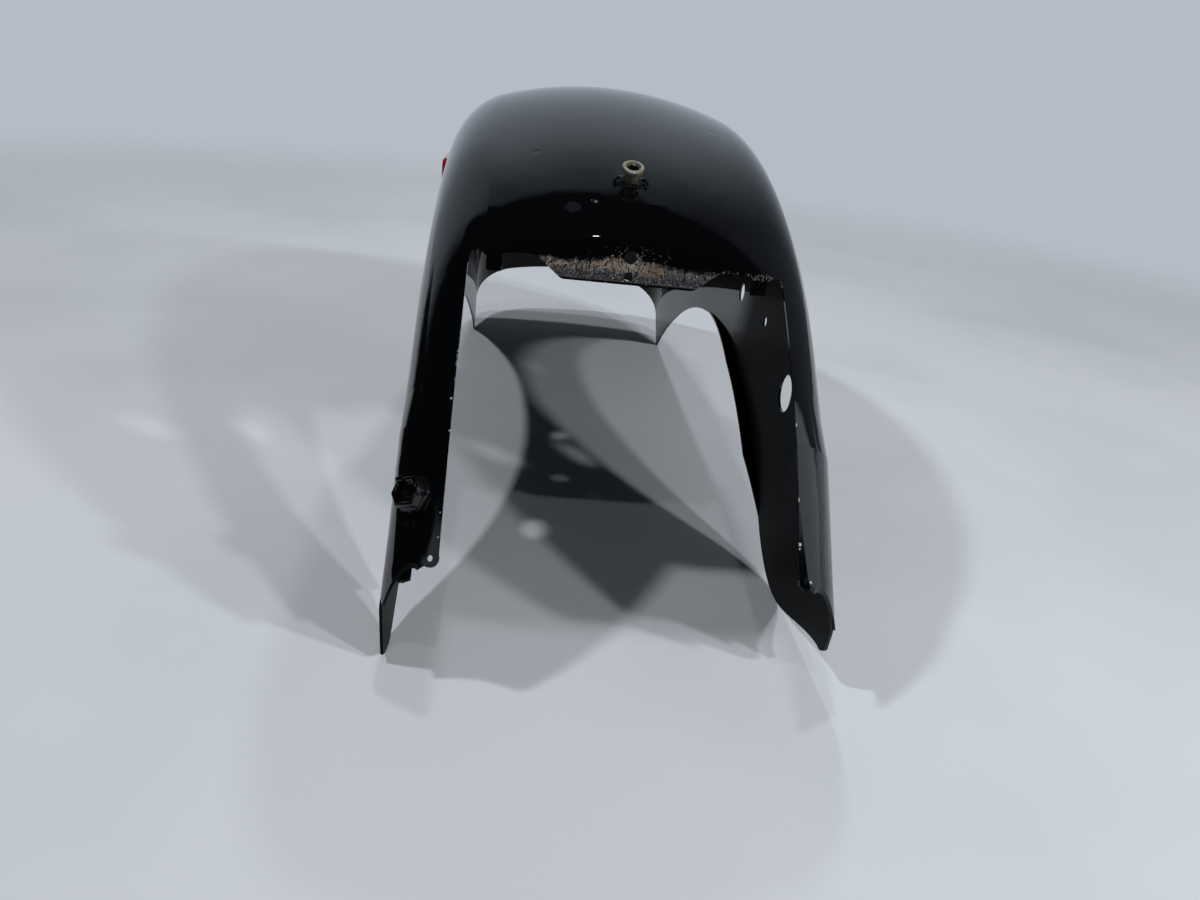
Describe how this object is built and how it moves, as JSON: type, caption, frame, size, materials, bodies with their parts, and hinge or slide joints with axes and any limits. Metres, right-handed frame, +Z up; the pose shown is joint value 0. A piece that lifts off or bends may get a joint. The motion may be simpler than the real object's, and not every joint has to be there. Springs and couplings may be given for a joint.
{
  "type": "motorcycle rear fender",
  "caption": "Deep curved sheet-metal rear fender with arched sides, two long front legs, a lipped front edge with a tongue, a threaded seat nut on the crown and side reflectors.",
  "frame": {"origin": "on the ground under the middle of the overall length and width", "axes": "+X to the rider's left, +Y towards the rear, +Z up"},
  "size_m": [0.248, 0.7003, 0.2701],
  "materials": {
    "shell_paint": "gloss black paint, chipped at the edges and worn to rust on the tongue",
    "nut_metal": "yellow zinc plated",
    "retainer_plastic": "moulded black",
    "reflector_lens": "clear red over moulded prisms",
    "clip_plastic": "moulded black"
  },
  "bodies": {
    "root": {"fender_shell": "shell_paint", "seat_nut": "nut_metal", "seat_nut_retainer": "retainer_plastic", "reflector_left": "reflector_lens", "reflector_right": "reflector_lens", "harness_clip": "clip_plastic"}
  },
  "joints": []
}
